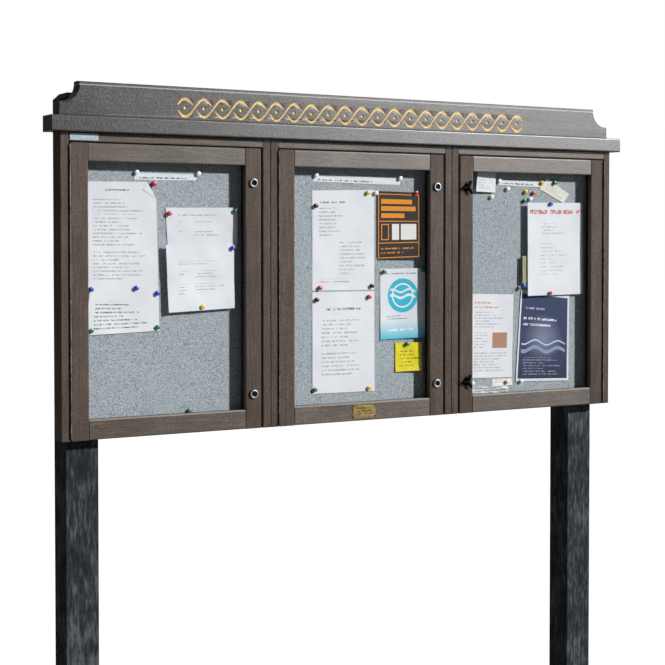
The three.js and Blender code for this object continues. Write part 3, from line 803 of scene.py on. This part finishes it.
DOOR_BACK, CAM_FRONT, CAM_BACK = 25, 28.5, 31.5
chrome = plated_steel("satin_chrome", "z", ("6d7276", "7e8388", "92979b"), rough=0.4)
lock_black = black_moulding("lock_black", "060708", rough=0.5, pale="0e0f11", gloss=0.12)
cam_steel = plated_steel("cam_steel", "z", ("777670", "908f88", "a8a79f"), rough=0.36)

barrel_rows = [(6.4, -DOOR_BACK), (9.4, -DOOR_BACK), (9.4, 0.3), (13.1, 0.3)]
barrel_rows += [(13.5, 0.7)] + arc(3.2, 2.9, (10.3, 3.1), 5, 90, 9)
barrel_rows += arc(1.6, 1.6, (9.1, 4.4), 90, 180, 6) + [(7.5, 2.0), (6.4, 2.0)]
barrel = turned_ring(barrel_rows, sides=64)
plug_rows = [(0, -CAM_FRONT), (6, -CAM_FRONT), (6, 0.6), (5.6, 1.0), (2.0, 1.0), (2.0, 3.1)]
plug = turned(plug_rows + [(1.6, 3.5), (0, 3.5)], sides=48)
cam = plate(cam_outline(), -CAM_BACK, -CAM_FRONT, edge=0.4)
nut_rows = [(9.5, -27.9), (13.0, -27.9), (14.0, -27.3), (14.0, -25.1), (9.5, -25.1)]
washer_rows = [(2.5, -32.4), (6.2, -32.4), (6.4, -32.2), (6.4, -31.5), (2.5, -31.5)]
bolt_rows = [(0, -35.4), (3.9, -35.4), (4.6, -35.0), (4.6, -32.3), (0, -32.3)]
lock_nut, washer = turned_ring(nut_rows, sides=6), turned_ring(washer_rows, sides=32)
cam_bolt = turned(bolt_rows, sides=6)


def latch_axis(bay, height):
    """The middle of a latch's plug or knob across and up, on the front plane of the cases."""
    part = "knob_bush" if bay == "right" else "lock_barrel"
    middle = extent(f"{bay}_door_{height}_{part}").mean(0)
    return np.array([middle[0], CASE_FRONT, middle[2]])


def latch_fittings(bay, height):
    """The cam with its washer and bolt, which turn, and the nut behind the door."""
    spot, latch = latch_axis(bay, height), f"{bay}_{height}"
    turning = together(*(set_down(part, "front", spot) for part in (cam, washer, cam_bolt)))
    piece(f"{latch}_cam", turning, f"{latch}_latch", "zinc_steel", cam_steel)
    nut = set_down(lock_nut, "front", spot)
    piece(f"{latch}_nut", nut, f"{bay}_door", "zinc_steel", cam_steel, sharp=25)


for bay in ("left", "middle"):
    for height in ("lower", "upper"):
        spot, lock = latch_axis(bay, height), f"{bay}_{height}"
        made = piece(f"{lock}_barrel", set_down(barrel, "front", spot), f"{bay}_door", "chrome", chrome)
        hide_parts(f"{bay}_door_{height}_lock_barrel")
        made = piece(f"{lock}_plug", set_down(plug, "front", spot), f"{lock}_latch",
                     "black_plastic", lock_black)
        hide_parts(f"{bay}_door_{height}_lock_plug")
        latch_fittings(bay, height)


# KNOBS
# The right door has two black moulded knobs with three rounded arms, each on a spindle in a
# flanged bush. They turn the same cams.

def three_armed_knob(reach=23, hub=5, half=3.9, front=14.3, back=6.8, lean=24.3, sides=120,
                     steps=7, back_round=1.2, front_round=2.4, dome=0.8):
    """Each arm is a bar with a round end. At an angle d from its axis the edge lies at
    half / sin d beside it and on the end's circle past it, and the eighth power mean of that
    and the hub rounds the corners between. Quarter rounds pull the first and last rows in,
    and the front is domed."""
    angle = np.linspace(0, 2 * np.pi, sides, endpoint=False)
    off = np.abs((angle + np.pi / 3) % (2 * np.pi / 3) - np.pi / 3)
    far = reach - half
    on_end = np.tan(off) * far < half
    end = far * np.cos(off) + np.sqrt(np.maximum(half ** 2 - (far * np.sin(off)) ** 2, 0))
    arm = np.where(on_end, end, half / np.sin(np.maximum(off, 0.01)))
    outline = (hub ** 8 + arm ** 8) ** (1 / 8)
    turn = np.linspace(0, np.pi / 2, steps)
    crown = np.array([0.75, 0.5, 0.25])
    inset = np.r_[back_round * (1 - np.sin(turn)), front_round * (1 - np.cos(turn))]
    radii = [outline - i for i in inset] + [(outline - front_round) * s for s in crown]
    heights = np.r_[back + back_round * (1 - np.cos(turn)),
                    front - dome - front_round * (1 - np.sin(turn)), front - dome * crown ** 2]
    lean_angle = angle + np.pi / 2 - math.radians(lean)
    turns = np.stack([np.cos(lean_angle), np.sin(lean_angle)], -1)
    rows = [np.c_[r[:, None] * turns, np.full(sides, h)] for r, h in zip(radii, heights)]
    return drawn_in(rows, back, front)


knob_black = black_moulding("knob_black", "030304", rough=0.5, pale="060708", gloss=0.03)
spindle_rows = [(0, -CAM_FRONT), (6, -CAM_FRONT), (6, 3.4), (5, 7.0), (0, 7.0)]
spindle = turned(spindle_rows, sides=40)
bush_rows = [(6.4, -DOOR_BACK), (9.4, -DOOR_BACK), (9.4, 0.3), (12, 0.3), (12, 1.8)]
bush_rows += arc(1.2, 1.2, (10.8, 1.8), 20, 90, 4) + [(6.4, 3.0)]
bush = turned_ring(bush_rows, sides=56)
for height in ("lower", "upper"):
    spot = latch_axis("right", height)
    made = piece(f"right_{height}_bush", set_down(bush, "front", spot), "right_door",
                 "black_plastic", knob_black)
    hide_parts(f"right_door_{height}_knob_bush")
    knob = together(*(set_down(s, "front", spot) for s in (three_armed_knob(), spindle)))
    made = piece(f"right_{height}_knob", knob, f"right_{height}_latch", "black_plastic", knob_black)
    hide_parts(f"right_door_{height}_knob")
    latch_fittings("right", height)


# LEDGE
# One long grey recycled-plastic board along the top of the row. It is smoother than the cases,
# overhangs in front and at both ends, and throws the rain off.

LEDGE_TONES, LEDGE_GLOSS, LEDGE_ROUGHNESS = ("222222", "2f2e2e", "454341"), 0.57, 0.34
finish_node("ledge_board",
            plastic_board("ledge_board", "x", 90, LEDGE_TONES, LEDGE_GLOSS, LEDGE_ROUGHNESS))


# HEADER
# A grey board on edge above the ledge, with a concave quarter round at each upper corner. A
# plait of two strands with a bowl in each eye is routed into its face and gilded.

HEADER_TONES, HEADER_GLOSS, HEADER_ROUGHNESS = ("292827", "3c3a38", "575450"), 0.5, 0.42
# Painted light on the rounded top edge: a pale painted highlight from 10 to 7.4 mm below the top, and
# above it painted shade, a darker reflection.
HEADER_LIGHT_LINES = ((10, 7.4, "b4b2ae", 0.9), (7.4, 0, "201f1e", 0.6))
EYES, EYE_LENGTH, BOW_HEIGHT, STROKE_STEPS = 21, 56, 24, 33
BAND_MIDDLE, BAND_HEIGHT = 921, 884
WIDE_HALF, NARROW_HALF, END_HALF, GROOVE_SLOPE, LAND = 3.5, 2.1, 0.6, 0.9, 5.2
RUN_OUT, RUN_OUT_POWER, CUTTER_RISE = 6, 0.6, 0.5
BOWL_RADIUS, BOWL_DEPTH = 5.2, 2.6


def strand_groove(first, sign):
    """A V-shaped cutter along z = sign * bow * sin(pi * x / eye), from one crossing, where the
    strand comes out from under the other, over the next crossing, and to the third. Its half
    width runs from a fine end to its widest at the tops of the bows."""
    start = max(first, 0) * EYE_LENGTH + LAND
    stop = min(first + 2, EYES) * EYE_LENGTH - LAND
    x = np.linspace(start, stop, STROKE_STEPS)
    phase = np.pi * x / EYE_LENGTH
    z = sign * BOW_HEIGHT * np.sin(phase)
    slope = sign * BOW_HEIGHT * np.pi / EYE_LENGTH * np.cos(phase)
    half = NARROW_HALF + (WIDE_HALF - NARROW_HALF) * np.sin(phase) ** 2
    near_end = np.minimum(x - start, stop - x)
    half = END_HALF + (half - END_HALF) * np.minimum(1, near_end / RUN_OUT) ** RUN_OUT_POWER
    normal = np.stack([-slope, np.ones_like(x)], -1) / np.hypot(1, slope)[:, None]
    spread = (half + CUTTER_RISE / GROOVE_SLOPE)[:, None] * normal
    middle = np.stack([x, z], -1)
    upper, lower = middle + spread, middle - spread
    corners = [(lower, CUTTER_RISE), (middle, -half * GROOVE_SLOPE), (upper, CUTTER_RISE)]
    rows = [np.c_[flat[:, 0], flat[:, 1], np.broadcast_to(rise, len(x))] for flat, rise in corners]
    points = np.stack(rows, 1).reshape(-1, 3)
    last = (len(x) - 1) * 3
    caps = np.array([[2, 1, 0], [last, last + 1, last + 2]])
    return points, [grid_faces(len(x), 3), caps]


def carved_header():
    """The header board less the grooves of two strands that pass over and under each other,
    and a round bowl in each eye between them. The cut faces are gilded. The painted light
    lines, a painted highlight and painted shade along the rounded top edge, run between two
    distances below the board's top, in a colour and by a share."""
    grooves = [strand_groove(first, sign) for sign, begin in ((1, -1), (-1, 0))
               for first in range(begin, EYES, 2)]
    bowl = [(0, -BOWL_DEPTH)] + arc(BOWL_RADIUS, BOWL_DEPTH, (0, 0), -72, 0, 5)
    bowl = turned(bowl + [(BOWL_RADIUS + 0.2, CUTTER_RISE), (0, CUTTER_RISE)], sides=24)
    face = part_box("header_board")[0].y
    start = case_point(BAND_MIDDLE - EYES * EYE_LENGTH / 2, 0, BAND_HEIGHT)
    start[1] = face
    eyes = np.tile(start, (EYES, 1))
    eyes[:, 0] += (np.arange(EYES) + 0.5) * EYE_LENGTH * MM
    cut = together(*(set_down(groove, "front", start) for groove in grooves),
                   set_down(bowl, "front", eyes))
    gold = gilded("gilding")
    cutter = piece("gilded_cut", cut, "case", "gilding", gold, sharp=30)

    board = nodes["header_board"].data.copy()
    board.materials.clear()
    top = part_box("header_board")[1].z
    painted_light_lines = [(top - low * MM, top - high * MM, code, share) for low, high, code, share in HEADER_LIGHT_LINES]
    board.materials.append(plastic_board("header_board", "x", 95, HEADER_TONES, HEADER_GLOSS,
                                         HEADER_ROUGHNESS, painted_light_lines=painted_light_lines))
    board.materials.append(gold)
    merged = bmesh.new()
    merged.from_mesh(board)
    bmesh.ops.remove_doubles(merged, verts=merged.verts, dist=0.01 * MM)
    bmesh.ops.recalc_face_normals(merged, faces=merged.faces)
    merged.to_mesh(board)
    merged.free()
    header = bpy.data.objects.new("carved_header", board)
    bpy.context.scene.collection.objects.link(header)
    carve = header.modifiers.new("carve", "BOOLEAN")
    carve.operation, carve.solver, carve.object = "DIFFERENCE", "EXACT", cutter
    carve.material_mode = "TRANSFER"
    view = bpy.context.evaluated_depsgraph_get()
    done = bpy.data.meshes.new_from_object(header.evaluated_get(view))
    header.modifiers.clear()
    header.data = done
    done.shade_smooth()
    done.set_sharp_from_angle(angle=math.radians(30))
    header.modifiers.new("even_shading", "WEIGHTED_NORMAL").keep_sharp = True
    bpy.data.objects.remove(cutter)
    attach(header, "case")
    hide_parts("header_board")


def gilded(name):
    """Gold paint in the cuts, a little thin and cloudy, with a satin shine."""
    finish = Finish(name, Metallic=0.1, Specular_IOR_Level=0.5)
    clouds = finish.noise(300, 3, 0.6)
    finish.set(Base_Color=finish.bands(clouds, (0.32, "ad8638"), (0.5, "d2ab5e"), (0.7, "e8c880")))
    finish.roughness(clouds, 0.38, 0.55)
    finish.relief(clouds, 0.1 * MM, 0.4)
    return finish.material


carved_header()


# PLATES
# A small label plate, painted pale, on the left case, and a brass plaque on the middle door.
# The plaque has an engraved border, engraved bars in place of words, and four screws.

BORDER, BAR_PITCH, BAR_LENGTH = (2.2 * MM, 3.0 * MM), 8.5 * MM, 2.4 * MM
BAR_FIELD = (27 * MM, 12.5 * MM)
BAR_SPAN, BARS_LEFT_OUT = (0.3, 0.7), 0.22
SCREW_IN = 3.6 * MM


def painted_plate(name):
    """Pale paint on aluminium, weathered a little thinner in soft clouds. Its blue-grey is
    painted shade, the tint a pale plate takes in shade under a blue sky.
    """
    finish = Finish(name, Metallic=0.15, Specular_IOR_Level=0.4)
    clouds = finish.noise(120, 4, 0.65)
    # The blue-grey bands are painted shade over a pale paint.
    finish.set(Base_Color=finish.bands(clouds, (0.35, "8fa1a7"), (0.5, "a2b4b9"), (0.65, "b0c0c4")))
    finish.roughness(clouds, 0.5, 0.65)
    return finish.material


def engraved_brass(name, plaque):
    """Weathered brass. The border and three rows of bars are cut in and filled with dark wax,
    and both are measured in metres from the middle of the plaque."""
    middle, half = extent(plaque).mean(0), np.ptp(extent(plaque), 0) / 2
    finish = Finish(name, Metallic=0.8)
    clouds = finish.noise(90, 4, 0.65)
    brass = finish.bands(clouds, (0.34, "665530"), (0.5, "7d6a42"), (0.66, "927f52"))
    along, _, rise = finish.parts(finish.place(1, -middle))
    across, up = finish.maths("ABSOLUTE", along), finish.maths("ABSOLUTE", rise)
    edge = finish.maths("MINIMUM", finish.maths("SUBTRACT", half[0], across),
                        finish.maths("SUBTRACT", half[2], up))
    border = finish.within(edge, *BORDER)
    rows = finish.maths("MULTIPLY_ADD", rise, 1 / BAR_PITCH, 0.5)
    row, line = finish.maths("FRACT", rows), finish.maths("FLOOR", rows)
    word = finish.maths("FLOOR", finish.maths("DIVIDE", along, BAR_LENGTH))
    spoken = finish.node("TexWhiteNoise", finish.node("CombineXYZ", word, line, 0.0))
    bars = finish.times(finish.within(row, *BAR_SPAN),
                        finish.maths("GREATER_THAN", spoken, BARS_LEFT_OUT))
    field = finish.times(*(finish.maths("LESS_THAN", way, reach)
                           for way, reach in zip((across, up), BAR_FIELD)))
    cut = finish.maths("MAXIMUM", border, finish.times(bars, field))
    finish.set(Base_Color=finish.blend(finish.times(cut, 0.7), brass, colour("3a2c14")))
    finish.roughness(clouds, 0.38, 0.55)
    finish.relief(cut, -0.2 * MM, 0.8)
    return finish.material


finish_node("label_plate", painted_plate("label_paint_with_painted_shade"))
finish_node("brass_plaque", engraved_brass("engraved_brass", "brass_plaque"))
low, high = extent("brass_plaque")
plaque_corners = [(x, low[1], z) for x in (low[0] + SCREW_IN, high[0] - SCREW_IN)
                  for z in (low[2] + SCREW_IN, high[2] - SCREW_IN)]
dark_brass = plated_steel("dark_brass", "x", ("2a2115", "3d311d", "4f4028"), rough=0.5)
plaque_screw = screw_head(radius=2.9, height=0.9, socket=1.1, sides=20)
plaque_screws = set_down(plaque_screw, "front", plaque_corners)
piece("plaque_screws", plaque_screws, "middle_door", "brass", dark_brass)


# STUDIO
# A plain pale floor on the ground line and a white surround. The key light is a soft sun from
# the upper right in front. In gloss, floor and surround are dark on the left, and the surround
# has a bright corner in front on the right.

def studio_floor(reach=40, seen_share=0.9):
    """A flat square on the ground line, pale to the eye; it keeps the object's shadow. In gloss
    it goes from dark on the left to a mid grey on the right."""
    mesh = bpy.data.meshes.new("studio_floor")
    corners = [(-reach, -reach, 0), (reach, -reach, 0), (reach, reach, 0), (-reach, reach, 0)]
    mesh.from_pydata(corners, [], [(0, 1, 2, 3)])
    floor = bpy.data.objects.new("studio_floor", mesh)
    bpy.context.scene.collection.objects.link(floor)
    finish = Finish("studio_floor", Base_Color=(0.2, 0.2, 0.2, 1), Roughness=0.9)
    finish.set(Specular_IOR_Level=0.0, Emission_Color=(1, 1, 1, 1))
    rays = finish.tree.nodes.new("ShaderNodeLightPath").outputs
    shaded = finish.spread(finish.parts(finish.place())[0], -0.8, 0.8, 0.02, 0.35)
    seen = finish.times(rays["Is Glossy Ray"], shaded)
    for ray in ("Is Camera Ray", "Is Transmission Ray"):
        seen = finish.maths("MAXIMUM", seen, rays[ray])
    finish.set(Emission_Strength=finish.times(seen, seen_share))
    mesh.materials.append(finish.material)


def studio_surround():
    """White where a camera or transmission ray sees it. The fill for diffuse rays and the gloss
    are weak from the left and in front, and stronger from behind. The gloss has besides a bright
    corner in front on the right."""
    world = bpy.data.worlds.new("studio_surround")
    bpy.context.scene.world = world
    world.use_nodes = True
    sky = Pattern(world.node_tree)
    background = sky.tree.nodes["Background"]
    background.inputs["Color"].default_value = (1, 1, 1, 1)
    rays = sky.tree.nodes.new("ShaderNodeLightPath").outputs
    right, back, _ = sky.parts(sky.tree.nodes.new("ShaderNodeTexCoord").outputs["Generated"])
    fill = sky.times(sky.spread(back, -0.2, 0.6, 0.07, 0.9), sky.spread(right, -0.25, 0.35, 0.3, 1))
    gloss = sky.times(sky.spread(back, -0.5, 0.2, 0.06, 0.8), sky.spread(right, -0.25, 0.35, 0.03, 1))
    corner = sky.times(sky.spread(right, 0.44, 0.67, 0, 4.9), sky.spread(back, 0, -0.35, 0, 1))
    gloss = sky.maths("MAXIMUM", gloss, corner)
    strength = sky.times(fill, rays["Is Diffuse Ray"])
    strength = sky.maths("MULTIPLY_ADD", gloss, rays["Is Glossy Ray"], strength)
    for ray in ("Is Camera Ray", "Is Transmission Ray"):
        strength = sky.maths("MAXIMUM", strength, rays[ray])
    sky.join(background.inputs["Strength"], strength)


def key_sun(energy=3.8, width=4, way=(-0.85, 1.0, -0.6)):
    """A soft sun, its width in degrees, whose light runs to the left, backwards and down."""
    light = bpy.data.lights.new("key_sun", "SUN")
    light.energy, light.angle = energy, math.radians(width)
    lamp = bpy.data.objects.new("key_sun", light)
    bpy.context.scene.collection.objects.link(lamp)
    lamp.rotation_mode = "QUATERNION"
    lamp.rotation_quaternion = Vector(way).to_track_quat("-Z", "Y")


studio_floor()
studio_surround()
key_sun()


# CAMERA
# It stands to the left in front, as high as the middle of the cases, and looks slightly down.
# Its place, turn and focal length were fitted to the edges of the boards.

def photo_camera(place=(-2.22907, -3.7591, 1.62873), down=1.603, right=30.104,
                 picture=665, focal=1476.91, middle=280, sensor=36):
    """It is turned down and to the right by so many degrees. The focal length, and the row that
    lies on the camera's axis, are in pixels of the square picture."""
    camera_data = bpy.data.cameras.new("photo_camera")
    camera_data.sensor_fit, camera_data.sensor_width = "HORIZONTAL", sensor
    camera_data.lens = sensor * focal / picture
    camera_data.shift_y = -(picture / 2 - middle) / picture
    camera_data.clip_start, camera_data.clip_end = 0.05, 200
    camera = bpy.data.objects.new("photo_camera", camera_data)
    bpy.context.scene.collection.objects.link(camera)
    camera.location = place
    camera.rotation_euler = (math.radians(90 - down), 0, math.radians(-right))
    bpy.context.scene.camera = camera


photo_camera()
bpy.context.scene.view_settings.view_transform = "Standard"
